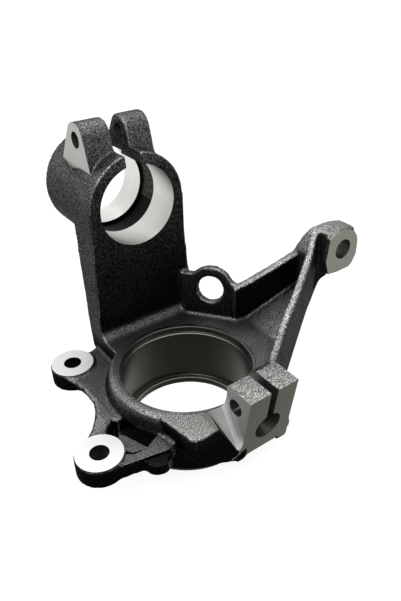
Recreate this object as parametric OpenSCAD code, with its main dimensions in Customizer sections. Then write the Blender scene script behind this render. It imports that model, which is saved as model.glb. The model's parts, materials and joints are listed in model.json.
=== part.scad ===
// Steering knuckle, one iron casting with machined faces and bores.
// The origin is the middle of the bearing bore's inboard rim. Z is the bearing axis and points
// inboard, Y runs along the strut, and X points from the caliper side to the steering arm.

/* [Bearing ring] */
// Diameter of the wheel bearing seat
bearing_d = 82; // [78:0.5:84]
// Depth from the rim to the shoulder that the bearing stops on
seat_depth = 42; // [38:0.5:44]
// Width of that shoulder
shoulder_w = 3; // [2.5:0.5:7]
// Thickness of the lip below the shoulder
lip_t = 4.6; // [3:0.2:7]
// Thickness of the ring's wall at its rounded rim
rim_wall = 6.5; // [5.5:0.5:7.5]
// Thickness of the ring's wall where it is thickest
belly_wall = 9.5; // [8.5:0.5:11]
// Depth of the snap ring groove below the rim
groove_z = 4; // [3:0.5:6]
// Width of the snap ring groove
groove_w = 1.6; // [1.2:0.1:2.4]
// Depth of the snap ring groove into the wall
groove_t = 1.3; // [0.8:0.1:1.6]

/* [Web] */
// Distance from the bearing seat to the web's front face
web_gap = 14; // [13:0.5:17]
// Thickness of the web at its foot
web_t = 16.8; // [13:0.2:18]
// Slope of the web's back, which thickens it upwards, in degrees
web_taper = 6; // [0:0.5:7]
// Left side of the web at the height of the strut
web_left = 26.6; // [25:0.2:28]
// Right side of the web at the height of the ring
web_right = 43; // [41:0.5:46]
// Radius of the fillet between the web and the ring's top face
web_fillet = 7; // [4:0.5:8]

/* [Strut clamp] */
// Diameter of the strut bore
strut_d = 51; // [48:0.5:52]
// Sideways place of the strut axis
strut_x = 6.1; // [4:0.1:8]
// Height of the strut axis above the ring's top face
strut_z = 85; // [80:1:92]
// Length of the clamp along the strut
strut_len = 62; // [56:1:68]
// Outer diameter of the clamp at its front end
collar_d = 65; // [63:0.5:68]
// Outer diameter of the clamp at its back end
collar_back_d = 66; // [63:0.5:68]
// Width of the slit
slit_w = 10; // [4:0.5:11]
// Distance from the strut axis to the middle of the slit
slit_off = -0.9; // [-1.5:0.1:1.5]
// Length of the rough relief between the two machined seats
relief_len = 17.6; // [12:0.2:22]
// Distance from the clamp's front to the relief
relief_start = 23.7; // [20:0.1:26]
// Depth of the relief
relief_t = 2; // [1:0.2:3]

/* [Clamp ears] */
// Thickness of the left ear
ear_t = 18.2; // [14:0.2:20]
// Thickness of the right ear
right_ear_t = 17.2; // [13:0.2:19]
// Diameter of the pinch bolt hole
ear_hole_d = 10; // [8:0.5:12]
// Radius of an ear's rounded top
ear_r = 10.2; // [9:0.2:12]
// Distance from the clamp's front to the pinch bolt
ear_y = 25.4; // [23:0.2:30]
// Height of the pinch bolt above the strut axis
ear_z = 38.5; // [37:0.5:42]

/* [Eye wall] */
// Direction of the wall's normal around the bearing axis, in degrees
eye_az = 38; // [36:1:40]
// Lean of the wall away from the bearing axis, in degrees
eye_lean = 10; // [6:1:13]
// Distance from the bearing seat to the wall's foot
eye_gap = 13.6; // [12:0.2:16]
// Thickness of the wall
eye_t = 5.6; // [4:0.2:8]
// Diameter of the eye
eye_d = 18; // [14:0.5:20]
// Radius of the rounded lobe around the eye
eye_r = 15.8; // [14:0.2:17]
// Height of the eye above the ring's top face, measured along the wall
eye_h = 19.9; // [19:0.1:22]
// Height of the wall beside the eye
eye_wall_h = 30; // [26:0.5:32]

/* [Steering arm] */
// Sideways place of the tie rod hole
tie_x = 124.3; // [120:0.1:130]
// Height of the tie rod hole
tie_z = 42.8; // [40:0.2:46]
// Diameter of the tie rod hole
tie_hole_d = 14; // [11:0.5:15]
// Radius of the tie rod boss
tie_r = 14; // [12.5:0.5:15]
// Place of the boss's machined face along Y
tie_y = -7; // [-10:0.5:-5]
// Length of the boss along its hole
tie_len = 18; // [15:0.5:22]
// Thickness of the arm's front rib
front_rib_t = 5; // [4:0.2:7]
// Thickness of the arm's rear rib
rear_rib_t = 6; // [4:0.2:7]
// Slope of the channel's floor between the ribs, in degrees
floor_slope = 26; // [20:1:28]

/* [Ball joint lug] */
// Width of the lug between its milled sides
lug_w = 34.5; // [32:0.5:37]
// Sideways place of the lug's middle
lug_x = 16.2; // [14:0.1:18]
// Height of the lug's top above the ring's top face
lug_top = 14; // [11:0.5:16]
// Width of the lug's slit
lug_slit_w = 5.2; // [3:0.2:7]
// Diameter of the ball joint's pin
pin_d = 18.4; // [16:0.2:20]
// Depth of the pin bore
pin_depth = 16; // [13:0.5:16.5]
// Lean of the lug's front face and of the pin bore, in degrees
lug_lean = 8.6; // [6:0.2:10]
// Diameter of the lug's pinch bolt hole
lug_hole_d = 10.5; // [8:0.5:11]
// Radius at the foot of the milled sides
notch_r = 5; // [2:0.5:7]

/* [Caliper bracket] */
// Diameter of the two caliper bolt holes
bolt_d = 11; // [9:0.5:13]
// Diameter of the machined pads around them
pad_d = 26.6; // [24:0.2:29]
// Depth of the bracket's top face below the ring's top face
bracket_z = 10.5; // [9:0.5:12]
// Height of the pads above the bracket
pad_h = 2; // [1:0.2:3]
// Thickness of the bracket
bracket_t = 10; // [8:0.5:12]
// Place of the upper caliper bolt
upper_bolt = [-51.5, 54.8];
// Place of the lower caliper bolt
lower_bolt = [-73.1, -23.7];

/* [Hidden] */
$fn = 64;
// Reach of a cut that has to pass everything
far = 200;
cast_black = "#2b2b2b";

bearing_r = bearing_d / 2;
shoulder_r = bearing_r - shoulder_w;
// Outlines around the ring are drawn for a bearing of this size and grow with it
grow = bearing_d / 82;
ring_bottom = seat_depth + lip_t;
web_y = bearing_r + web_gap;
web_foot = -29.2 * grow;
eye_dist = bearing_r + eye_gap;
slit_x = strut_x + slit_off;
ears_left = slit_x - slit_w / 2 - ear_t;
ears_right = slit_x + slit_w / 2 + right_ear_t;
ear_pos_y = web_y + ear_y;
ear_pos_z = strut_z + ear_z;
bolt_flat_r = 36;
lug_left = lug_x - lug_w / 2;
lug_right = lug_x + lug_w / 2;
lug_back = -bearing_r - 2;
lug_tail = -bearing_r + 5;
lug_front = lug_back - 19.3;
lug_bottom = -33.5;
lug_hole_y = lug_back - 6.7;
lug_hole_z = 2.4;
lug_room = 0.8;
pin_z = -14.5;
// The lug's front face at a height, on its leaning plane
function lug_front_at(z) = lug_front + (lug_top - z) * tan(lug_lean);

// Points of an arc about a centre
function arc(c, r, a0, a1, n = 6) =
    [for (i = [0:n]) c + r * [cos(a0 + (a1 - a0) * i / n), sin(a0 + (a1 - a0) * i / n)]];

// An outline in the XZ plane, swept along Y from y0 to y1
module along_y(y0, y1) translate([0, y1, 0]) rotate([90, 0, 0]) linear_extrude(y1 - y0) children();

// An outline in the YZ plane, swept along X from x0 to x1
module along_x(x0, x1) translate([x0, 0, 0]) rotate([90, 0, 90]) linear_extrude(x1 - x0) children();

// An outline in plan, swept along Z from z0 to z1
module along_z(z0, z1) translate([0, 0, z0]) linear_extrude(z1 - z0) children();

// The turned wall around the bearing, with a rounded rim and a narrow lip
module ring() {
    rim = bearing_r + rim_wall;
    belly = bearing_r + belly_wall;
    inside = shoulder_r - 8;
    rotate_extrude($fn = 96)
        polygon(concat(
            [[inside, -ring_bottom], [shoulder_r + 4, -ring_bottom]],
            [[belly - 0.5, 6 - seat_depth], [belly, -bracket_z], [rim + 0.6, -3]],
            arc([rim - 2.4, -2.5], 2.5, 0, 90, 4),
            [[inside, 0]]
        ));
}

// The flat top around the ring, out to the web, the eye wall, the arm and the lug
module deck() {
    wall = eye_dist + eye_t - 1;
    along_z(-14, 0)
        polygon([
            [web_foot, 30 * grow], [web_foot, web_y + 4], [web_right - 0.5, web_y + 4],
            [wall * cos(eye_az) - 11 * sin(eye_az), wall * sin(eye_az) + 11 * cos(eye_az)],
            [wall * cos(eye_az) + 17 * sin(eye_az), wall * sin(eye_az) - 17 * cos(eye_az)],
            grow * [62, 18], grow * [62, -23.5], arm_from, grow * [20, -44], [0, 0]
        ]);
}

// The front foot, whose underside rises to the left
module foot() {
    intersection() {
        along_z(lug_bottom - 1, 0)
            polygon(grow * [
                [-37.6, -29], [-34.6, -44.5], [-33.6, -52], [-31.5, -55], [-28, -55.6],
                [-16, -55.3], [2, -56.3], [2, -20], [-20, -20]
            ]);
        along_y(-far, 0)
            polygon([
                [-45 * grow, 1], [-45 * grow, -12], [-34, -15], [-13, -28.5], [-4, lug_bottom],
                [3 * grow, lug_bottom], [3 * grow, 1]
            ]);
    }
}

// The web that carries the strut clamp: its front outline cut to its side outline
module web() {
    back = web_y + web_t;
    rise = tan(web_taper);
    skirt = 13;
    top = strut_z + 1;
    intersection() {
        along_y(web_y - 15, back + 20)
            polygon([
                [web_foot - 0.1, -36], [web_foot, 4], [-web_left, strut_z], [-web_left + 0.6, top],
                [2 * strut_x + web_left - 0.8, top], [2 * strut_x + web_left, strut_z],
                [web_right - 4, strut_z - 23], [web_right - 2.4, 39], [web_right, 10], [web_right, -36]
            ]);
        along_x(-40, 60)
            polygon([
                [bearing_r - 1, 0], [web_y, 0], [web_y, top], [back + top * rise, top],
                [back - skirt * rise, -skirt], [bearing_r + 9, -34], [bearing_r - 1, -34]
            ]);
    }
    // Fillet between the web and the top face
    intersection() {
        along_x(web_foot, 33)
            polygon(concat(
                [[web_y + 1, -1], [web_y - web_fillet, -1]],
                arc([web_y - web_fillet, web_fillet], web_fillet, -90, 0),
                [[web_y + 1, web_fillet]]
            ));
        along_z(-2, 20)
            polygon([
                [web_foot, web_y - 15], [web_foot, web_y + 5], [33, web_y + 5], [33, web_y - 4.4],
                [0, web_y - 15]
            ]);
    }
}

// The clamp around the strut
module collar() {
    translate([strut_x, web_y, strut_z])
        rotate([-90, 0, 0])
            cylinder(h = strut_len, d1 = collar_d, d2 = collar_back_d);
}

// Side outline of an ear, round at the top
module ear_outline() {
    hull() {
        translate([ear_pos_y, ear_pos_z]) circle(ear_r);
        polygon([
            [ear_pos_y - 15.5, ear_pos_z - 18], [ear_pos_y + 22.5, ear_pos_z - 17],
            [ear_pos_y + 22.5, ear_pos_z - 26], [ear_pos_y - 15.5, ear_pos_z - 26]
        ]);
    }
}

// One solid across both ears, which the slit parts
module ears() {
    along_x(ears_left, ears_right) ear_outline();
}

// Puts its children on the eye wall: X is outward, Y along the wall and Z up along it
module on_eye_wall() {
    translate([eye_dist * cos(eye_az), eye_dist * sin(eye_az), 0])
        rotate([0, eye_lean, eye_az])
            children();
}

// The leaning wall between the web and the arm, with a round lobe about the eye
module eye_wall() {
    intersection() {
        on_eye_wall() along_x(0, eye_t) {
            translate([0.7, eye_h]) circle(eye_r);
            polygon([
                [30, -14], [30, eye_wall_h - 2.5], [23, eye_wall_h], [11, eye_wall_h],
                [-8, eye_wall_h], [-16.5, eye_wall_h - 4.5], [-19, -14]
            ]);
        }
        // The wall's left end is flat and stands on the web
        translate([web_right - 10, -far, -12]) cube([far, 2 * far, far]);
    }
}

// The ribs end inside the boss, this far before its hole
arm_end = tie_x - 12.3;
// Plan line of the arm's front rib, from the lug to the boss
arm_from = grow * [33, -39.6];
arm_to = [arm_end, tie_y + 11.1];
arm_line = arm_to - arm_from;
// Plan line of the rear rib's front face
rear_from = grow * [56, 18.8];
rear_to = [arm_end, tie_y + 14.2];
rear_line = rear_to - rear_from;
// Points of an outline with their first coordinate stretched
function stretched(points, k) = [for (p = points) [k * p[0], p[1]]];

// The arm's front rib, higher towards the boss
module front_rib() {
    translate([arm_from[0], arm_from[1], 0])
        rotate([0, 0, atan2(arm_line[1], arm_line[0])])
            along_y(0, front_rib_t)
                polygon(stretched([
                    [0, -34], [0, -3], [10.3, 5.6], [24, 15.3], [34.3, 21], [49.8, 26], [62.9, 32.7],
                    [76.6, 42.3], [82.5, tie_z + 8.7], [87, tie_z + 12.2], [90.3, tie_z + 12.7], [90.3, 12],
                    [88, 4.5], [76.6, 0.5], [62.9, -8.6], [40, -24.6], [26, -32], [12, -34]
                ], norm(arm_line) / 90.3));
}

// The arm's rear rib, from the eye wall to the boss
module rear_rib() {
    translate([rear_from[0], rear_from[1], 0])
        rotate([0, 0, atan2(rear_line[1], rear_line[0])])
            along_y(0, rear_rib_t)
                polygon(stretched([
                    [-3, -12], [-3, 24.5], [8, 27], [23, 32.2], [38, 38], [44, 40.5], [50, tie_z + 6.2],
                    [57.2, tie_z + 12.7], [57.2, 4], [44, 0], [30, -8], [10, -12]
                ], norm(rear_line) / 57.2));
}

// Floor and body of the channel between the ribs
module channel() {
    start = 60 * grow;
    run = arm_end - start;
    rise = tan(floor_slope);
    intersection() {
        along_z(-far, far)
            polygon([
                [start, 22 * grow], [start, -24.3 * grow], arm_to, rear_to + [0, 3]
            ]);
        translate([start, 0, 0])
            along_y(-far, far)
                polygon(stretched([
                    [0, -30], [0, 0], [1, 0], [40, 39 * rise], [45, tie_z + 0.2], [48, tie_z + 9.2],
                    [51, tie_z + 12.2], [52, tie_z + 12.7], [52, 8], [50, 4], [40, 0.5], [28, -8.6],
                    [8, -24.6]
                ], run / 52));
    }
}

// The boss that takes the tie rod: a machined face on a squarer cast block
module tie_rod_boss() {
    translate([tie_x, 0, tie_z]) {
        along_y(tie_y, tie_y + 4) {
            circle(tie_r);
            polygon([
                [0, tie_r], [-9, tie_r - 0.6], [-13.3, 10.8], [-15.3, -5], [-11.9, -tie_r - 1.4],
                [-2.7, -tie_r - 2.3], [7.8, -tie_r - 2], [10.7, -tie_r], [tie_r, -8], [tie_r, 0]
            ]);
        }
        intersection() {
            along_y(tie_y + 3, tie_y + tie_len)
                polygon([
                    [-13, tie_r - 0.4], [8.5, tie_r + 0.2], [12.6, 10.8], [tie_r + 0.5, 4], [tie_r, -8],
                    [10.7, -tie_r], [7.8, -tie_r - 2], [-2.7, -tie_r - 2.3], [-11, -tie_r - 1.4]
                ]);
            // Its back turns in towards the end of the arm
            along_z(-20, 20)
                polygon([
                    [-16, tie_y], [-16, tie_y + tie_len], [2, tie_y + tie_len - 0.8],
                    [9, tie_y + tie_len - 4], [16, tie_y + tie_len - 9], [16, tie_y]
                ]);
        }
    }
    // Neck between the boss and the arm
    translate([arm_end, 0, 0])
        along_y(tie_y + 10, tie_y + tie_len)
            polygon([
                [-12, 0.5], [-12, tie_z + 0.2], [-5, tie_z + 11.2], [0, tie_z + 13.5], [12, tie_z + 13.8],
                [14, tie_z - 12.8], [11, tie_z - 24.3], [4.4, tie_z - 26], [1.9, 12.5], [-1.5, 4.5]
            ]);
}

// The block that clamps the ball joint's pin, before its sides are milled
module lug() {
    left = lug_left - 2.5;
    right = lug_right + 1.6;
    along_x(left, right)
        polygon([
            [lug_back, lug_top], [lug_front, lug_top], [lug_front_at(lug_bottom), lug_bottom],
            [lug_back + 1, lug_bottom]
        ]);
    // Its back slopes down to the bearing seat and is wide enough for the milled radius
    along_x(lug_left - 6.5, right)
        polygon([
            [lug_back - 2, lug_top], [lug_back, lug_top], [lug_back + 2.6, lug_top - 3.2],
            [lug_tail, lug_top - 5.5], [lug_tail, -5], [lug_back - 2, -5]
        ]);
    // Two corners that hang lower
    along_x(left, lug_left + 4) lug_corner();
    along_x(lug_right - 6, right) lug_corner();
}

module lug_corner() {
    polygon([
        [lug_front_at(lug_bottom + 5), lug_bottom + 5], [lug_front_at(lug_bottom - 3), lug_bottom - 3],
        [lug_back - 5, lug_bottom - 1.5], [lug_back - 1, lug_bottom + 5]
    ]);
}

// The milled side of the lug: a wall, a radius and a steep ramp that runs out over the foot
module lug_notch() {
    ramp = 58.5;
    reach = 60;
    intersection() {
        translate([lug_left, lug_back + 2.3, 0.5])
            rotate([ramp, 0, 0])
                along_y(-far, far)
                    polygon(concat(
                        [[0, reach], [-reach, reach], [-reach, 0]],
                        arc([-notch_r, notch_r], notch_r, -90, 0)
                    ));
        // The mill stops at a slanting line on the foot
        translate([-14 * grow, lug_back, 0])
            rotate([0, -28, -14])
                translate([0, -reach, -reach])
                    cube([reach, 2 * reach, 2 * reach]);
    }
}

// Plan of the caliper bracket, whose free edge can be drawn in by some millimetres
module bracket_plan(inset) {
    edge = [inset, 0];
    polygon([
        grow * [-28, 40], grow * [-30, 63.5], grow * [-37, 61.2], upper_bolt,
        upper_bolt + edge + [-12.6, -4.4], upper_bolt + edge + [-7.4, -15.7],
        grow * [-57.1, 31.3] + edge, grow * [-56.6, 24] + edge, grow * [-56.8, 16] + edge,
        grow * [-59.2, 8.9], lower_bolt + [9.6, 25.6], lower_bolt + [4.7, 19.5], lower_bolt + [0, 15.7],
        lower_bolt, lower_bolt + [0.4, -12.8], lower_bolt + [7.5, -14], grow * [-41.8, -42.5],
        grow * [-36, -41], grow * [-30, -30], grow * [-40, 0]
    ]);
}

// Bracket for the brake caliper, with its two bolt bosses
module bracket() {
    top = -bracket_z;
    bottom = -bracket_z - bracket_t;
    difference() {
        union() {
            along_z(top - 3, top) bracket_plan(0);
            along_z(bottom, top - 2) bracket_plan(4);
        }
        // Window between the lower boss and the ring
        along_z(bottom - 1, top + 1)
            polygon(grow * [
                [-51.5, -5.5], [-56.3, -16.7], [-49.6, -34.3], [-44, -31.5], [-30, -25], [-35, -5]
            ]);
        // Blind pocket beside it, which leaves a thin ridge
        along_z(top - 7, top + 1)
            polygon(grow * [
                [-63.5, -12.6], [-60, -7.5], [-56.5, -4.8], [-54, -4.6], [-53.6, -7.5], [-57.9, -17],
                [-61, -20]
            ]);
        // Groove between the pad and the bar
        along_z(top - 3, top + 1)
            polygon(grow * [
                [-62, -24], [-59.8, -30], [-57.8, -33], [-50, -34.4], [-57.5, -34.4], [-62, -31]
            ]);
    }
    for (p = [upper_bolt, lower_bolt])
        translate([p[0], p[1], bottom - 0.7]) {
            cylinder(h = bracket_t + pad_h, d = pad_d + 1.2);
            cylinder(h = bracket_t + pad_h + 0.7, d = pad_d);
        }
    // Stub under the bar
    translate([-47 * grow, -40 * grow, bottom - 0.4]) cylinder(h = 8, d = 16);
}

// Everything that is machined or open
module cuts() {
    // Bearing seat, shoulder opening, chamfer and groove
    translate([0, 0, -seat_depth]) cylinder(h = seat_depth + 1, d = bearing_d, $fn = 96);
    // Room above the seat, where the lug stands back from the bearing
    cylinder(h = lug_top + 2, d = bearing_d + 2 * lug_room, $fn = 96);
    translate([0, 0, -ring_bottom - 1]) cylinder(h = lip_t + 2, r = shoulder_r, $fn = 96);
    translate([0, 0, -groove_z - groove_w])
        cylinder(h = groove_w, d = bearing_d + 2 * groove_t, $fn = 96);
    // Strut bore, its relief and its slit
    translate([strut_x, web_y - 1, strut_z])
        rotate([-90, 0, 0])
            cylinder(h = strut_len + 2, d = strut_d);
    translate([strut_x, web_y + relief_start, strut_z])
        rotate([-90, 0, 0])
            cylinder(h = relief_len, d = strut_d + 2 * relief_t);
    translate([slit_x - slit_w / 2, web_y - 1, strut_z])
        cube([slit_w, strut_len + 2, far]);
    // Pinch bolt hole through both ears
    translate([ears_left - 1, ear_pos_y, ear_pos_z])
        rotate([0, 90, 0])
            cylinder(h = ears_right - ears_left + 2, d = ear_hole_d);
    // Flat for the bolt head on the left ear, which runs out into the clamp
    translate([ears_left - bolt_flat_r, ear_pos_y + 7.6, ear_pos_z + 18.3])
        rotate([0, 90, 0])
            cylinder(h = bolt_flat_r, r = bolt_flat_r);
    // Eye
    on_eye_wall()
        translate([-10, 0.7, eye_h])
            rotate([0, 90, 0])
                cylinder(h = eye_t + 20, d = eye_d);
    // Tie rod hole
    translate([tie_x, tie_y - 1, tie_z])
        rotate([-90, 0, 0])
            cylinder(h = tie_len + 2, d = tie_hole_d);
    // Caliper bolt holes
    for (p = [upper_bolt, lower_bolt])
        translate([p[0], p[1], -bracket_z - bracket_t - 2])
            cylinder(h = bracket_t + pad_h + 3, d = bolt_d);
    // Ball joint pin, its slit and its pinch bolt
    translate([lug_x, lug_front_at(pin_z), pin_z])
        rotate([-90 + lug_lean, 0, 0])
            translate([0, 0, -4])
                cylinder(h = pin_depth + 4, d = pin_d);
    translate([lug_x - lug_slit_w / 2, -far, pin_z])
        cube([lug_slit_w, far + lug_back + 0.7, far]);
    translate([lug_x - lug_slit_w / 2, -far, 0])
        cube([lug_slit_w, far + lug_tail + 1, far]);
    translate([lug_left - 8, lug_hole_y, lug_hole_z])
        rotate([0, 90, 0])
            cylinder(h = lug_w + 16, d = lug_hole_d);
    lug_notch();
    translate([2 * lug_x, 0, 0]) mirror([1, 0, 0]) lug_notch();
}

module knuckle() color(cast_black) {
    difference() {
        union() {
            ring();
            deck();
            foot();
            web();
            collar();
            ears();
            eye_wall();
            front_rib();
            rear_rib();
            channel();
            tie_rod_boss();
            lug();
            bracket();
        }
        cuts();
    }
}

knuckle();
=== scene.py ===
"""A steering knuckle: one black iron casting with machined faces and bores, on a plain pale floor."""

import json
import math

import bpy
from bpy.props import FloatProperty, FloatVectorProperty, IntProperty, PointerProperty
from mathutils import Matrix, Vector
from mathutils.bvhtree import BVHTree

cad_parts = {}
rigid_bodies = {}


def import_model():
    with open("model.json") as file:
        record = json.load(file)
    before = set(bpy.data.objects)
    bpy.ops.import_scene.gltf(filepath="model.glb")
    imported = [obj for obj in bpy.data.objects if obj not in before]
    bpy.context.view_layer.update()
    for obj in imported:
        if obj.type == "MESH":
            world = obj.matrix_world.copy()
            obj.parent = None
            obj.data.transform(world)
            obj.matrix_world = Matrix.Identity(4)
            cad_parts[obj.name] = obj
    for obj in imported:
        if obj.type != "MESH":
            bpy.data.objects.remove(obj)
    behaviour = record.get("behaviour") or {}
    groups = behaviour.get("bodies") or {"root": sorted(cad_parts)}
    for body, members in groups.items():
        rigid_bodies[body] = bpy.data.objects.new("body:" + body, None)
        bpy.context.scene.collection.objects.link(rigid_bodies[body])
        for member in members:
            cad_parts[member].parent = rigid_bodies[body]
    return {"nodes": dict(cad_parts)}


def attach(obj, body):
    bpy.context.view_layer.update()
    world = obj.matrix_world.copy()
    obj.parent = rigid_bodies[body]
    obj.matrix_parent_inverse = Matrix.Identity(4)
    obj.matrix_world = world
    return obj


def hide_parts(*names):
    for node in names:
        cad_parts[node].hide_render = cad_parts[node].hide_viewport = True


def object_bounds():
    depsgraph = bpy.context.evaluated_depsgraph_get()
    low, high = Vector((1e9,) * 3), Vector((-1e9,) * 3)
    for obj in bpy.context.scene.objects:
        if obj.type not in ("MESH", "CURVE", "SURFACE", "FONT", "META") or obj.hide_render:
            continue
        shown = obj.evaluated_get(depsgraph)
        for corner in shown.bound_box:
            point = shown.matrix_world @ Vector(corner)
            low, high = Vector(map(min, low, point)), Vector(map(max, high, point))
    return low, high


bl_info = {
    "name": "Steering knuckle",
    "version": (1, 0, 0),
    "blender": (4, 5, 0),
    "location": "3D View > Sidebar > Knuckle",
    "description": "Dresses the packed casting with its cast skin and machined faces and sets the studio",
    "category": "Object",
}

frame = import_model()
CAD_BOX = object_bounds()
MM = 0.001

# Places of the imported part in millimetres
STRUT_X, STRUT_Z = 6.1, 85
EAR_HOLE_Y, EAR_HOLE_Z = 80.4, 123.5
CALIPER_BOLTS = ((-51.5, 54.8), (-73.1, -23.7))
PAD_TOP = -8.5
TIE_X, TIE_Z = 124.3, 42.8
TIE_FACE = -7
LUG_X, LUG_TOP, LUG_HALF = 16.2, 14, 17.25
LUG_FRONT, LUG_LEAN = -62.3, math.radians(8.6)
LUG_BOLT_Y, LUG_BOLT_Z = -49.7, 2.4

# What the lamps look at, in metres
AIM = (0.02, 0.02, 0.03)
# The level way from the part to the photo's camera, fixed in the part's frame. Two finishes are
# darker towards it, because the photo's room was dark on that side and this stage is even
TO_CAMERA = (-0.57, -0.82, 0)
# The camera's view
CAMERA_PLACE = (-151.9, -232.5, 227.3)
CAMERA_TURN = (-35.14, 33.01, -1.24)
FOCAL_PIXELS, IMAGE_PIXELS, SENSOR = 580.25, 601, 36


# Small helpers

def linear(code):
    """An sRGB hex colour as linear red, green, blue and full alpha."""
    parts = [int(code[i:i + 2], 16) / 255 for i in (1, 3, 5)]
    return tuple(p / 12.92 if p <= 0.04045 else ((p + 0.055) / 1.055) ** 2.4 for p in parts) + (1.0,)


def pick(ob):
    """Leaves one object selected and active."""
    if bpy.context.object and bpy.context.object.mode != "OBJECT":
        bpy.ops.object.mode_set(mode="OBJECT")
    bpy.ops.object.select_all(action="DESELECT")
    ob.select_set(True)
    bpy.context.view_layer.objects.active = ob


def settle(ob):
    """Moves an object's place into its mesh."""
    pick(ob)
    bpy.ops.object.transform_apply(location=True, rotation=True, scale=True)
    return ob


def modify(ob, kind, **settings):
    """Adds a modifier, sets it and applies it."""
    pick(ob)
    mod = ob.modifiers.new(kind.title(), kind)
    for key, value in settings.items():
        setattr(mod, key, value)
    bpy.ops.object.modifier_apply(modifier=mod.name)


def combine(ob, tool, how):
    """Joins, cuts or keeps by another solid, which is then removed."""
    modify(ob, "BOOLEAN", operation=how, object=tool, solver="MANIFOLD")
    bpy.data.meshes.remove(tool.data)


def rod(name, radius, start, end, sides=144):
    """A round bar between two points, in millimetres."""
    a, b = Vector(start) * MM, Vector(end) * MM
    bpy.ops.object.select_all(action="DESELECT")
    turn = (b - a).to_track_quat("Z", "Y").to_euler()
    bpy.ops.mesh.primitive_cylinder_add(
        vertices=sides, radius=radius * MM, depth=(b - a).length, location=(a + b) / 2, rotation=turn)
    bpy.context.object.name = name
    return settle(bpy.context.object)


def block(name, low, high):
    """A squared block between two corners, in millimetres."""
    a, b = Vector(low) * MM, Vector(high) * MM
    bpy.ops.object.select_all(action="DESELECT")
    bpy.ops.mesh.primitive_cube_add(size=1, location=(a + b) / 2, scale=b - a)
    bpy.context.object.name = name
    return settle(bpy.context.object)


def node(tree, kind, links=None, **settings):
    """Adds one shader node; plain names are its settings, links holds input values or sockets."""
    new = tree.nodes.new("ShaderNode" + kind)
    for key, value in settings.items():
        setattr(new, key, value)
    for key, value in (links or {}).items():
        if isinstance(value, bpy.types.NodeSocket):
            tree.links.new(value, new.inputs[key])
        else:
            new.inputs[key].default_value = value
    return new


# Sizes and colours that a user would change

class KnuckleSizes(bpy.types.PropertyGroup):
    """Sizes of the finish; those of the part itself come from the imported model."""
    voxel: FloatProperty(
        name="Casting detail", description="Fineness of the cast skin's mesh", default=1.25 * MM,
        min=0.7 * MM, max=2 * MM, unit="LENGTH", precision=5)
    rounds: IntProperty(
        name="Edge rounding", description="How far cast edges and corners are rounded", default=4, min=0,
        max=20)
    skin_drop: FloatProperty(
        name="Skin drop", description="How far the cast skin lies below machined faces",
        default=0.015 * MM, min=0, max=0.3 * MM, unit="LENGTH", precision=5)
    clear: FloatProperty(
        name="Crisp border", description="Width of unrounded skin beside a machined place",
        default=2.5 * MM, min=0, max=6 * MM, unit="LENGTH", precision=4)
    reach: FloatProperty(
        name="Recess reach", description="How far off a wall may stand and still make a recess darker",
        default=80 * MM, min=5 * MM, max=200 * MM, unit="LENGTH", precision=4)
    grain: FloatProperty(
        name="Sand grain", description="Size of the grain in the cast skin", default=0.75 * MM,
        min=0.2 * MM, max=3 * MM, unit="LENGTH", precision=5)


def colour(name, about, code):
    """A colour setting with its starting value."""
    return FloatVectorProperty(
        name=name, description=about, default=linear(code), size=4, min=0, max=1, subtype="COLOR")


class KnuckleColours(bpy.types.PropertyGroup):
    """Colours of the cast skin and of each kind of machined face."""
    # Painted shade: the darker copy of the skin for upright faces that look along TO_CAMERA
    skin_shaded_face: colour("Skin, face", "Cast skin on upright faces towards the lug and the caliper", "#141414")
    skin_flank: colour("Skin, flank", "Cast skin on the other upright faces", "#474746")
    # Painted shade: the skin's colour in recesses, by how open each point lies
    skin_recess_shade: colour("Skin, recess", "Cast skin in recesses, where the dip gathers", "#141414")
    # Painted light: the lighter copy of the skin for faces that look up
    skin_top_lit: colour("Skin, top", "Cast skin on open faces that look up", "#8A8A88")
    # Painted highlight along edges that look up
    skin_edge_highlight: colour("Skin, edge", "Rubbed edges of the casting", "#8A8A88")
    pad: colour("Caliper pads", "Milled pads round the caliper bolts", "#D2D2D1")
    spotface: colour("Spot face", "Milled face on the left ear", "#ABABA7")
    strut_seat: colour("Strut seat", "Bored seats of the strut clamp", "#DCDCD8")
    # Painted reflection: the dark olive of the bearing bore
    bearing_seat: colour("Bearing seat", "Bored seat of the wheel bearing", "#50514B")
    # Painted reflection: the dark olive of the lug's milled front
    lug_front: colour("Lug, front", "Milled front of the ball joint lug", "#45483B")
    lug_side: colour("Lug, side", "Milled sides of the ball joint lug", "#B0B0AE")
    # Painted light: the ramp is a lighter copy of the lug's milled side
    ramp: colour("Lug, ramp", "Milled ramps beside the ball joint lug", "#DCDCDA")
    arm_face: colour("Arm face", "Milled face of the tie rod boss", "#7E7F76")
    drilled: colour("Drilled holes", "Holes in the ears, the lug and the tie rod boss", "#666662")
    # Painted shade: holes and hollows are black
    hollow_shade: colour("Caliper holes", "Deep holes of the caliper bolts", "#070707")


# Finishes

def start_material(name):
    """A new material with an empty node tree, and that tree."""
    mat = bpy.data.materials.new(name)
    mat.use_nodes = True
    mat.node_tree.nodes.clear()
    return mat, mat.node_tree


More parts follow.
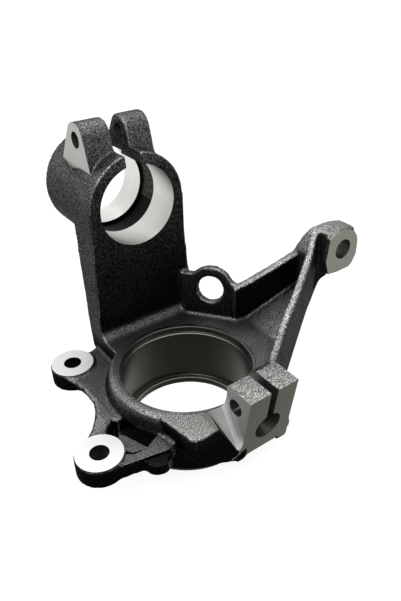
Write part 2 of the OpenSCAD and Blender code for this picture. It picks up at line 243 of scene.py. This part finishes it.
def cast_skin(c, s):
    """Sand-cast grey iron with a black dip: the sand's grain stays in the skin as bright and dark specks,
    with painted glints that grow stronger higher up. Faces that look up are painted lighter, recesses get
    painted shade and edges that look up a painted highlight. Upright faces towards the photo's camera
    and low ones are darker, as the photo's room made them: painted shade."""
    mat, t = start_material("sand-cast iron, black dipped")
    place = node(t, "TexCoord")
    on = place.outputs["Object"]
    grain = node(
        t, "TexNoise", {"Vector": on, "Scale": 1 / s.grain, "Detail": 2.0, "Roughness": 0.6}).outputs[0]
    coarse = node(
        t, "TexNoise", {"Vector": on, "Scale": 1 / (4 * MM), "Detail": 2.0, "Roughness": 0.5}).outputs[0]
    wide = node(t, "TexNoise", {"Vector": on, "Scale": 1 / (24 * MM), "Detail": 1.0}).outputs[0]
    rounded_edge = node(t, "Attribute", attribute_name="edge").outputs["Fac"]
    clear = node(t, "Attribute", attribute_name="open").outputs["Fac"]
    facing = node(t, "SeparateXYZ", {0: place.outputs["Normal"]})
    up = node(
        t, "MapRange", {0: facing.outputs["Z"], 1: 0.15, 2: 0.85}, interpolation_type="SMOOTHSTEP").outputs[0]
    # The steep end of the arm's channel counts as looking up
    spot = node(t, "SeparateXYZ", {0: on})
    arm = node(t, "MapRange", {0: spot.outputs["X"], 1: 92 * MM, 2: 99 * MM}).outputs[0]
    steep = node(t, "MapRange", {0: facing.outputs["Z"], 1: 0.2, 2: 0.45}).outputs[0]
    steep = node(t, "Math", {0: steep, 1: arm}, operation="MULTIPLY").outputs[0]
    up = node(t, "Math", {0: up, 1: steep}, operation="MAXIMUM").outputs[0]
    # Painted shade: upright faces that look along TO_CAMERA are darker
    camera_facing_shade = node(t, "VectorMath", {0: place.outputs["Normal"], 1: TO_CAMERA}, operation="DOT_PRODUCT")
    camera_facing_shade = node(
        t, "MapRange", {0: camera_facing_shade.outputs["Value"], 1: 0.6, 2: 0.78}, interpolation_type="SMOOTHSTEP")
    # Upright faces, then faces that look up, painted lighter by the light from above and with painted shade
    # the less open they lie
    flank = node(
        t, "Mix", {0: camera_facing_shade.outputs[0], 6: tuple(c.skin_flank), 7: tuple(c.skin_shaded_face)}, data_type="RGBA")
    # Painted shade: upright faces are darker low down, except those that look right
    low = node(t, "MapRange", {0: spot.outputs["Z"], 1: -10 * MM, 2: 1 * MM, 3: 0.1, 4: 1.0}).outputs[0]
    right = node(t, "MapRange", {0: facing.outputs["X"], 1: 0.1, 2: 0.4}).outputs[0]
    low = node(t, "Math", {0: low, 1: right}, operation="MAXIMUM").outputs[0]
    flank = node(t, "VectorMath", {0: flank.outputs[2], 3: low}, operation="SCALE").outputs[0]
    # Painted light: the fronts of the ears are a little lighter towards the top in the photo
    ear_light = node(t, "MapRange", {0: spot.outputs["Z"], 1: 106 * MM, 2: 117 * MM, 4: 0.05}).outputs[0]
    ear_light = node(t, "Math", {0: ear_light, 1: camera_facing_shade.outputs[0]}, operation="MULTIPLY").outputs[0]
    flank = node(t, "VectorMath", {0: flank, 1: ear_light}, operation="ADD")
    # Painted shade: tops are darker the less open they lie
    lit = node(t, "MapRange", {0: clear, 1: 0.25, 2: 0.62, 4: 0.46}).outputs[0]
    free = node(t, "MapRange", {0: clear, 1: 0.85, 2: 0.97, 4: 0.54}).outputs[0]
    lit = node(t, "Math", {0: lit, 1: free}, operation="ADD").outputs[0]
    top = node(
        t, "Mix", {0: lit, 6: tuple(c.skin_recess_shade), 7: tuple(c.skin_top_lit)}, data_type="RGBA").outputs[2]
    # Painted light and shade, as in the photo: tops are lighter towards the lug and on the arm, and darker on
    # the clamp and in the bracket's pocket
    region_light = node(
        t, "MapRange", {0: spot.outputs["Y"], 1: -50 * MM, 2: 110 * MM, 3: 0.85, 4: 0.6}).outputs[0]
    sunk = node(
        t, "MapRange", {0: spot.outputs["Z"], 1: -12.2 * MM, 2: -11 * MM, 3: 0.05, 4: 1.0}).outputs[0]
    mid = node(t, "MapRange", {0: spot.outputs["Z"], 1: 2 * MM, 2: 28 * MM, 3: 1.0, 4: 1.3}).outputs[0]
    crown = node(
        t, "MapRange", {0: spot.outputs["Z"], 1: 70 * MM, 2: 110 * MM, 3: 1.0, 4: 0.5}).outputs[0]
    for share in (sunk, mid, crown):
        region_light = node(t, "Math", {0: region_light, 1: share}, operation="MULTIPLY").outputs[0]
    top = node(t, "VectorMath", {0: top, 3: region_light}, operation="SCALE")
    base = node(t, "Mix", {0: up, 6: flank.outputs[0], 7: top.outputs[0]}, data_type="RGBA").outputs[2]
    # Painted highlight on edges that look up, broken up by the grain
    up_edge_highlight = node(t, "Math", {0: coarse, 1: 0.2, 2: rounded_edge}, operation="MULTIPLY_ADD").outputs[0]
    up_edge_highlight = node(t, "MapRange", {0: up_edge_highlight, 1: 0.33, 2: 0.95, 4: 0.6}).outputs[0]
    lit_from_above = node(t, "MapRange", {0: facing.outputs["Z"], 1: -0.15, 2: 0.35}).outputs[0]
    for share in (lit_from_above, sunk, low):
        up_edge_highlight = node(t, "Math", {0: up_edge_highlight, 1: share}, operation="MULTIPLY").outputs[0]
    base = node(t, "Mix", {0: up_edge_highlight, 6: base, 7: tuple(c.skin_edge_highlight)}, data_type="RGBA").outputs[2]
    # Specks of the grain, and a slow change from place to place
    speck = node(t, "MapRange", {0: grain, 1: 0.36, 2: 0.66, 3: 0.12, 4: 2.0}).outputs[0]
    tone = node(t, "MapRange", {0: wide, 1: 0.3, 2: 0.7, 3: 0.85, 4: 1.15}).outputs[0]
    speck = node(t, "Math", {0: speck, 1: tone}, operation="MULTIPLY").outputs[0]
    base = node(t, "VectorMath", {0: base, 3: speck}, operation="SCALE").outputs[0]
    # Painted glints on the grain, stronger higher up
    grain_glint = node(t, "MapRange", {0: grain, 1: 0.47, 2: 0.72, 4: 0.07}).outputs[0]
    high = node(
        t, "MapRange", {0: spot.outputs["Z"], 1: 5 * MM, 2: 110 * MM, 3: 0.1, 4: 1.0}).outputs[0]
    grain_glint = node(t, "Math", {0: grain_glint, 1: high}, operation="MULTIPLY").outputs[0]
    base = node(t, "VectorMath", {0: base, 1: grain_glint}, operation="ADD").outputs[0]
    rough = node(t, "MapRange", {0: grain, 1: 0.3, 2: 0.7, 3: 0.55, 4: 0.4}).outputs[0]
    height = node(t, "Math", {0: coarse, 1: 0.8, 2: grain}, operation="MULTIPLY_ADD").outputs[0]
    bump = node(t, "Bump", {"Height": height, "Strength": 0.5, "Distance": 0.3 * MM}).outputs[0]
    shader = node(t, "BsdfPrincipled", {
        "Base Color": base, "Metallic": 0.95, "Roughness": rough, "Specular Tint": (0.3, 0.3, 0.3, 1.0),
        "Normal": bump})
    node(t, "OutputMaterial", {"Surface": shader.outputs[0]})
    return mat


def machined(name, tint, roughness, stretch, turn=(0, 0, 0), depth=0.006, mottle=0.05, shade_share=0.0,
             painted_glints=()):
    """Bare cut iron: a soft sheen with fine cutter marks along one way and faint staining.
    The marks of a real cut are about 0.2 mm apart; they are drawn 0.5 mm apart to show. The side towards
    the photo's camera is painted darker as shade, by the share given. Glints are highlights painted round
    a bore, each with its height, half its width in millimetres and how much brighter it is."""
    mat, t = start_material(name)
    place = node(t, "TexCoord")
    on = place.outputs["Object"]
    along = node(t, "Mapping", {"Vector": on, "Scale": stretch, "Rotation": turn}).outputs[0]
    marks = node(
        t, "TexNoise", {"Vector": along, "Scale": 1 / (0.5 * MM), "Detail": 3.0, "Roughness": 0.6}).outputs[0]
    stain = node(t, "TexNoise", {"Vector": on, "Scale": 1 / (9 * MM), "Detail": 3.0}).outputs[0]
    lift = node(t, "MapRange", {0: marks, 1: 0.3, 2: 0.7, 3: 1 - mottle, 4: 1 + mottle}).outputs[0]
    tone = node(t, "MapRange", {0: stain, 1: 0.35, 2: 0.7, 3: 1.0, 4: 1 - mottle}).outputs[0]
    share = node(t, "Math", {0: lift, 1: tone}, operation="MULTIPLY").outputs[0]
    # Painted shade: the side towards TO_CAMERA is darker, by the share given
    camera_side_shade = node(t, "VectorMath", {0: place.outputs["Normal"], 1: TO_CAMERA}, operation="DOT_PRODUCT")
    camera_side_shade = node(t, "MapRange", {0: camera_side_shade.outputs["Value"], 1: 0.2, 2: 1.0, 3: 1.0, 4: 1 - shade_share},
               interpolation_type="SMOOTHSTEP").outputs[0]
    share = node(t, "Math", {0: share, 1: camera_side_shade}, operation="MULTIPLY").outputs[0]
    height = node(t, "SeparateXYZ", {0: on}).outputs["Z"]
    # Painted highlights: bright bands round the bore at the given heights
    for z, half, gain in painted_glints:
        edge = node(t, "Math", {0: height, 1: z * MM, 2: half * MM}, operation="COMPARE").outputs[0]
        share = node(t, "Math", {0: edge, 1: gain, 2: share}, operation="MULTIPLY_ADD").outputs[0]
    base = node(t, "VectorMath", {0: tuple(tint)[:3], 3: share}, operation="SCALE").outputs[0]
    rough = node(
        t, "MapRange", {0: marks, 1: 0.3, 2: 0.7, 3: roughness - 0.03, 4: roughness + 0.05}).outputs[0]
    bump = node(t, "Bump", {"Height": marks, "Strength": 0.4, "Distance": depth * MM}).outputs[0]
    shader = node(
        t, "BsdfPrincipled", {"Base Color": base, "Metallic": 1.0, "Roughness": rough, "Normal": bump})
    node(t, "OutputMaterial", {"Surface": shader.outputs[0]})
    return mat


# Finishes in the order of the casting's material slots, and those that lie on a plane
FINISHES = ("skin", "pad", "spotface", "strut_seat", "bearing_seat", "lug_front", "lug_side", "ramp",
            "arm_face", "drilled", "hollow_shade")
FLAT = ("pad", "spotface", "lug_front", "arm_face")


def make_finishes(c, s):
    """Every finish of the part, by name."""
    made = {"skin": cast_skin(c, s)}
    # Near white and even: the brightest faces of the part
    made["pad"] = machined("milled iron pad", c.pad, 0.4, (1, 1, 1), mottle=0.03)
    # Light grey, with the cutter's faint sweep
    made["spotface"] = machined("spot-faced iron", c.spotface, 0.4, (0.3, 1, 0.12))
    # A bright bore with fine rings and a soft change of light round it
    made["strut_seat"] = machined(
        "bored iron, strut seat", c.strut_seat, 0.36, (0.05, 1, 0.05), depth=0.002)
    # A dark, smooth, slightly olive bore: the dark olive is a painted reflection, the side towards the camera
    # gets painted shade and its edges painted glints
    made["bearing_seat"] = machined(
        "bored iron, bearing seat", c.bearing_seat, 0.3, (0.05, 0.05, 1), depth=0.002, shade_share=0.8,
        painted_glints=((-0.45, 0.3, 2.5), (-5.9, 0.4, 5.0), (-42.2, 0.4, 2.8)))
    # Flat olive grey, a painted dark reflection, with marks across the lug
    made["lug_front"] = machined("milled iron, lug front", c.lug_front, 0.42, (0.1, 1, 1))
    # Mid-grey and soft, with marks down the steep cut
    made["lug_side"] = machined("milled iron, lug side", c.lug_side, 0.55, (1, 0.12, 1), (0.95, 0, 0))
    # The same cut, painted lighter where it runs out over the foot, with some painted shade on the side
    # towards the camera
    made["ramp"] = machined("milled iron, ramp", c.ramp, 0.55, (1, 0.12, 1), (0.95, 0, 0), shade_share=0.3)
    # Flat warm grey, with marks along the arm
    made["arm_face"] = machined("milled iron, arm face", c.arm_face, 0.42, (0.12, 1, 1))
    # Grey holes with the drill's rough rings
    made["drilled"] = machined("drilled iron", c.drilled, 0.45, (0.3, 0.3, 1), mottle=0.15)
    # Holes and hollows painted black as shade
    made["hollow_shade"] = machined("drilled iron, painted black shade", c.hollow_shade, 0.5, (0.3, 0.3, 1), mottle=0.2)
    return made


# The casting

def casting():
    """The visible piece that every step works on."""
    return bpy.data.objects["casting"]


def cad_copy(name):
    """A closed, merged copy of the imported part."""
    src = frame["nodes"]["knuckle"]
    ob = bpy.data.objects.new(name, src.data.copy())
    bpy.context.scene.collection.objects.link(ob)
    ob.data.materials.clear()
    pick(ob)
    bpy.ops.object.mode_set(mode="EDIT")
    bpy.ops.mesh.select_all(action="SELECT")
    bpy.ops.mesh.remove_doubles(threshold=1e-6)
    bpy.ops.mesh.dissolve_limited(angle_limit=math.radians(0.2))
    bpy.ops.object.mode_set(mode="OBJECT")
    return ob


# Machined places as simple solids in millimetres: a rod by radius and ends, a block by corners
BEARING = (("rod", (43.2, (0, 0, -48), (0, 0, 0.02))),)
STRUT = (("rod", (28.4, (STRUT_X, 50, STRUT_Z), (STRUT_X, 120, STRUT_Z))),
         ("block", ((-24, 62, 104), (-16.6, 106, 140))),
         ("rod", (5.7, (-22, EAR_HOLE_Y, EAR_HOLE_Z), (30, EAR_HOLE_Y, EAR_HOLE_Z))))
LUG = (("block", ((-17.6, -66, -27.5), (38.5, -41, 16))),
       ("block", ((-7.9, -41.5, -0.5), (38.5, -34, 16))),
       ("rod", (9.8, (LUG_X, -63, -15.25), (LUG_X, -41.5, -12.0))))
PADS = (("block", ((-66, -47, -12.45), (-40, -18, -9.3))),) + tuple(
    ("rod", (radius, (x, y, low), (x, y, high)))
    for x, y in CALIPER_BOLTS for radius, low, high in ((13.32, -9.4, -7), (6.1, -23, -8.6)))
BOSS = (("block", ((108.5, -8, 22), (141, -5.6, 60))),
        ("rod", (7.7, (TIE_X, -8, TIE_Z), (TIE_X, 12, TIE_Z))))


def near_zone(p, room):
    """Whether a point in millimetres lies in or near a machined place."""
    for kind, numbers in BEARING + STRUT + LUG + PADS + BOSS:
        if kind == "block":
            low, high = numbers
            if all(low[i] - room < p[i] < high[i] + room for i in range(3)):
                return True
            continue
        radius, start, end = numbers
        line = Vector(end) - Vector(start)
        way = p - Vector(start)
        far = way.dot(line) / line.length
        off = (way - line * (far / line.length)).length
        if -room < far < line.length + room and off < radius + room:
            return True
    return False


def mark_cast_points(ob, room):
    """A vertex group of the points that stay as cast, clear of every machined place."""
    group = ob.vertex_groups.new(name="cast")
    group.add([v.index for v in ob.data.vertices if not near_zone(v.co / MM, room / MM)], 1.0, "REPLACE")


def note_edges(ob, before):
    """Stores how far each point moved in when the skin was rounded: edges moved in, flats did not."""
    note = ob.data.attributes.new("edge", "FLOAT", "POINT")
    for v, old in zip(ob.data.vertices, before):
        note.data[v.index].value = max(-1.0, min(1.0, (old - v.co).dot(v.normal) / (0.3 * MM)))


def note_openness(ob, reach):
    """Stores the share of its surroundings that each point sees past the part's own walls."""
    solid = cad_copy("walls")
    walls = BVHTree.FromPolygons(
        [v.co for v in solid.data.vertices], [p.vertices[:] for p in solid.data.polygons])
    bpy.data.meshes.remove(solid.data)
    count = 40
    rays = []
    for i in range(count):
        z = 1 - (2 * i + 1) / count
        a = i * math.pi * (3 - math.sqrt(5))
        rays.append(Vector((math.cos(a) * math.sqrt(1 - z * z), math.sin(a) * math.sqrt(1 - z * z), z)))
    note = ob.data.attributes.new("open", "FLOAT", "POINT")
    for v in ob.data.vertices:
        n = v.normal
        start = v.co + n * (0.4 * MM)
        seen = total = 0.0
        for ray in rays:
            share = n.dot(ray)
            if share > 0.1:
                total += share
                if walls.ray_cast(start, ray, reach)[0] is None:
                    seen += share
        note.data[v.index].value = seen / total if total else 1.0


def machined_zone(kind, numbers, grow):
    """A fresh solid over a machined place, drawn a little larger or smaller."""
    if kind == "rod":
        radius, start, end = numbers
        along = (Vector(end) - Vector(start)).normalized() * grow
        return rod("zone", radius + grow, Vector(start) - along, Vector(end) + along)
    low, high = numbers
    return block("zone", [v - grow for v in low], [v + grow for v in high])


def take_over(zones):
    """Swaps the rounded skin inside machined places for the part's own crisp shape."""
    for kind, numbers in zones:
        combine(casting(), machined_zone(kind, numbers, -0.25), "DIFFERENCE")
        crisp = cad_copy("crisp")
        combine(crisp, machined_zone(kind, numbers, 0.0), "INTERSECT")
        combine(casting(), crisp, "UNION")


class KNUCKLE_OT_cast_skin(bpy.types.Operator):
    """Rounds the edges and corners of the casting as a sand mould leaves them"""
    bl_idname = "knuckle.cast_skin"
    bl_label = "Cast skin"

    def execute(self, context):
        s = context.scene.knuckle_sizes
        ob = cad_copy("casting")
        walls = cad_copy("walls")
        modify(ob, "REMESH", mode="VOXEL", voxel_size=s.voxel)
        modify(ob, "SHRINKWRAP", target=walls, wrap_method="NEAREST_SURFACEPOINT")
        bpy.data.meshes.remove(walls.data)
        mark_cast_points(ob, s.clear)
        before = [v.co.copy() for v in ob.data.vertices]
        modify(ob, "SMOOTH", factor=0.5, iterations=s.rounds, vertex_group="cast")
        note_edges(ob, before)
        modify(ob, "DISPLACE", strength=-s.skin_drop, mid_level=0.0)
        return {"FINISHED"}


class KNUCKLE_OT_bearing_seat(bpy.types.Operator):
    """Bores the wheel bearing's seat, its shoulder and the snap ring groove"""
    bl_idname = "knuckle.bearing_seat"
    bl_label = "Bearing seat"

    def execute(self, context):
        take_over(BEARING)
        return {"FINISHED"}


class KNUCKLE_OT_strut_seat(bpy.types.Operator):
    """Bores the strut clamp and faces its left ear"""
    bl_idname = "knuckle.strut_seat"
    bl_label = "Strut clamp"

    def execute(self, context):
        take_over(STRUT)
        return {"FINISHED"}


class KNUCKLE_OT_ball_lug(bpy.types.Operator):
    """Mills the ball joint lug's front and sides, saws its slit and bores it"""
    bl_idname = "knuckle.ball_lug"
    bl_label = "Ball joint lug"

    def execute(self, context):
        take_over(LUG)
        return {"FINISHED"}


class KNUCKLE_OT_caliper_pads(bpy.types.Operator):
    """Mills the two caliper pads and drills them"""
    bl_idname = "knuckle.caliper_pads"
    bl_label = "Caliper pads"

    def execute(self, context):
        take_over(PADS)
        return {"FINISHED"}


class KNUCKLE_OT_tie_rod_boss(bpy.types.Operator):
    """Mills the tie rod boss's face and drills it"""
    bl_idname = "knuckle.tie_rod_boss"
    bl_label = "Tie rod boss"

    def execute(self, context):
        take_over(BOSS)
        return {"FINISHED"}


def finish_of(p, n):
    """The finish of a face from its place in millimetres and the way it looks."""
    if -47 < p.z < 0.2 and n.z > -0.5 and math.hypot(p.x, p.y) < 42.6 and (abs(n.z) < 0.9 or p.z < -1):
        return "bearing_seat"
    from_strut = math.hypot(p.x - STRUT_X, p.z - STRUT_Z)
    if from_strut < 25.7 and abs(n.y) < 0.5 and 55.02 < p.y < 116.98:
        return "strut_seat"
    # Painted shade: the lower part of the relief gets the black of the deep holes
    # The bottom of the clamp's relief is black in the photo
    if from_strut < 28 and abs(n.y) < 0.5 and 56 < p.y < 116 and p.z < 73:
        return "hollow_shade"
    if math.hypot(p.y - EAR_HOLE_Y, p.z - EAR_HOLE_Z) < 5.2 and abs(n.x) < 0.5:
        return "drilled"
    # The spot face's cutter leaves a flat and, below it, a short curved wall
    cutter = math.hypot(p.y - 88, p.z - 141.8)
    on_flat, on_wall = n.x < -0.9 and cutter < 36.1, n.z > 0.5 and abs(cutter - 36) < 0.3
    if -23 < p.x < -17.9 and p.z > 104 and (on_flat or on_wall):
        return "spotface"
    for x, y in CALIPER_BOLTS:
        from_bolt = math.hypot(p.x - x, p.y - y)
        if abs(p.z - PAD_TOP) < 0.06 and from_bolt < 13.4 and n.z > 0.9:
            return "pad"
        if from_bolt < 5.7 and abs(n.z) < 0.5:
            return "hollow_shade"
    if p.x > 108 and abs(p.y - TIE_FACE) < 0.06 and n.y < -0.9:
        return "arm_face"
    if math.hypot(p.x - TIE_X, p.z - TIE_Z) < 7.2 and abs(n.y) < 0.5:
        return "drilled"
    if -18 < p.x < 40 and -66 < p.y < -33 and -38 < p.z < 13.9:
        front = LUG_FRONT + (LUG_TOP - p.z) * math.tan(LUG_LEAN)
        across = abs(p.x - LUG_X)
        if abs(p.y - front) < 0.08 and n.y < -0.9:
            return "lug_front"
        if math.hypot(p.x - LUG_X, (p.z + 14.5) * 0.9888 - (p.y + 58) * 0.1495) < 9.4 and p.z < 0:
            return "drilled"
        # The slit's walls, then the bolt hole across it
        if across < 2.75 and abs(n.x) > 0.9:
            return "drilled"
        if math.hypot(p.y - LUG_BOLT_Y, p.z - LUG_BOLT_Z) < 5.4 and abs(n.x) < 0.3:
            return "drilled"
        if abs(across - LUG_HALF) < 0.06 and abs(n.x) > 0.9:
            return "lug_side"
        # The ramp and its round foot were cut along one steep line, so no face of theirs looks along it
        if across > 17.2 and abs(n.y * 0.5225 + n.z * 0.8526) < 0.04 and n.z > 0.02 and p.y < -34:
            return "ramp"
    return "skin"


class KNUCKLE_OT_finishes(bpy.types.Operator):
    """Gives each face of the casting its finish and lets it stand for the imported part"""
    bl_idname = "knuckle.finishes"
    bl_label = "Finishes"

    def execute(self, context):
        made = make_finishes(context.scene.knuckle_colours, context.scene.knuckle_sizes)
        ob = casting()
        ob.data.materials.clear()
        for name in FINISHES:
            ob.data.materials.append(made[name])
        for face in ob.data.polygons:
            face.material_index = FINISHES.index(finish_of(face.center / MM, face.normal))
        pick(ob)
        bpy.ops.object.shade_smooth_by_angle(angle=math.radians(32))
        for face in ob.data.polygons:
            if FINISHES[face.material_index] in FLAT:
                face.use_smooth = False
        modify(ob, "WEIGHTED_NORMAL", keep_sharp=True)
        note_openness(ob, context.scene.knuckle_sizes.reach)
        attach(ob, "root")
        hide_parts("knuckle")
        return {"FINISHED"}


# The studio

def white_for_eye(tree, lit, white):
    """Plain white wherever the camera, a gloss or a clear part looks at it, and lit elsewhere."""
    path = node(tree, "LightPath")
    seen = node(tree, "Math", {0: path.outputs["Is Camera Ray"], 1: path.outputs["Is Glossy Ray"]},
                operation="MAXIMUM").outputs[0]
    seen = node(
        tree, "Math", {0: seen, 1: path.outputs["Is Transmission Ray"]}, operation="MAXIMUM").outputs[0]
    return node(tree, "MixShader", {0: seen, 1: lit, 2: white}).outputs[0]


class KNUCKLE_OT_stage(bpy.types.Operator):
    """Sets the pale floor, the soft light and the camera"""
    bl_idname = "knuckle.stage"
    bl_label = "Stage"

    def execute(self, context):
        scene = context.scene
        self.floor()
        self.world(scene)
        self.lamps()
        self.camera(scene)
        scene.view_settings.view_transform = "Standard"
        return {"FINISHED"}

    def floor(self):
        bpy.ops.object.select_all(action="DESELECT")
        bpy.ops.mesh.primitive_plane_add(size=6, location=(0, 0, CAD_BOX[0][2] - 0.02 * MM))
        ob = settle(bpy.context.object)
        ob.name = "floor"
        mat, t = start_material("pale matt floor")
        lit = node(t, "BsdfDiffuse", {"Color": linear("#F2F2F2")}).outputs[0]
        thin = node(t, "BsdfDiffuse", {"Color": linear("#7C7C7C")}).outputs[0]
        glow = node(t, "Emission", {"Color": (1, 1, 1, 1), "Strength": 0.9}).outputs[0]
        both = node(t, "AddShader", {0: thin, 1: glow}).outputs[0]
        node(t, "OutputMaterial", {"Surface": white_for_eye(t, lit, both)})
        ob.data.materials.append(mat)

    def world(self, scene):
        world = bpy.data.worlds.new("studio")
        scene.world = world
        world.use_nodes = True
        t = world.node_tree
        t.nodes.clear()
        dim = node(t, "Background", {"Color": (1, 1, 1, 1), "Strength": 0.45}).outputs[0]
        white = node(t, "Background", {"Color": (1, 1, 1, 1), "Strength": 1.0}).outputs[0]
        node(t, "OutputWorld", {"Surface": white_for_eye(t, dim, white)})

    def lamps(self):
        for name, place, size, power in (
                ("key", (-0.9, -0.5, 1.3), 0.9, 12), ("top", (0.2, 0.5, 1.6), 1.4, 12)):
            data = bpy.data.lights.new(name, "AREA")
            data.size, data.energy = size, power
            lamp = bpy.data.objects.new(name, data)
            bpy.context.scene.collection.objects.link(lamp)
            lamp.location = place
            lamp.rotation_euler = (Vector(AIM) - Vector(place)).to_track_quat("-Z", "Y").to_euler()

    def camera(self, scene):
        data = bpy.data.cameras.new("camera")
        data.sensor_fit = "AUTO"
        data.sensor_width = SENSOR
        data.lens = FOCAL_PIXELS * SENSOR / IMAGE_PIXELS
        data.clip_start = 0.01
        cam = bpy.data.objects.new("camera", data)
        scene.collection.objects.link(cam)
        az, el, roll = (math.radians(v) for v in CAMERA_TURN)
        back = Vector((math.sin(az) * math.cos(el), -math.cos(az) * math.cos(el), math.sin(el)))
        right = Vector((math.cos(az), math.sin(az), 0))
        up = back.cross(right)
        turn = Matrix((right, up, back)).transposed() @ Matrix.Rotation(roll, 3, "Z")
        cam.matrix_world = turn.to_4x4()
        cam.location = Vector(CAMERA_PLACE) * MM
        scene.camera = cam


class KNUCKLE_PT_panel(bpy.types.Panel):
    """Lists the steps, sizes and colours of the part"""
    bl_label = "Steering knuckle"
    bl_idname = "KNUCKLE_PT_panel"
    bl_space_type = "VIEW_3D"
    bl_region_type = "UI"
    bl_category = "Knuckle"

    def draw(self, context):
        for group in (context.scene.knuckle_sizes, context.scene.knuckle_colours):
            box = self.layout.box()
            for name in group.__annotations__:
                box.prop(group, name)
        for step in STEPS:
            self.layout.operator(step.bl_idname)


STEPS = (KNUCKLE_OT_cast_skin, KNUCKLE_OT_bearing_seat, KNUCKLE_OT_strut_seat, KNUCKLE_OT_ball_lug,
         KNUCKLE_OT_caliper_pads, KNUCKLE_OT_tie_rod_boss, KNUCKLE_OT_finishes, KNUCKLE_OT_stage)
CLASSES = (KnuckleSizes, KnuckleColours) + STEPS + (KNUCKLE_PT_panel,)


def register():
    for cls in CLASSES:
        bpy.utils.register_class(cls)
    bpy.types.Scene.knuckle_sizes = PointerProperty(type=KnuckleSizes)
    bpy.types.Scene.knuckle_colours = PointerProperty(type=KnuckleColours)


def unregister():
    del bpy.types.Scene.knuckle_colours
    del bpy.types.Scene.knuckle_sizes
    for cls in reversed(CLASSES):
        bpy.utils.unregister_class(cls)


def main():
    register()
    for ob in list(bpy.data.objects):
        if ob.name in ("Cube", "Light", "Camera"):
            bpy.data.objects.remove(ob)
    bpy.ops.knuckle.cast_skin()
    bpy.ops.knuckle.bearing_seat()
    bpy.ops.knuckle.strut_seat()
    bpy.ops.knuckle.ball_lug()
    bpy.ops.knuckle.caliper_pads()
    bpy.ops.knuckle.tie_rod_boss()
    bpy.ops.knuckle.finishes()
    bpy.ops.knuckle.stage()


if __name__ == "__main__":
    main()
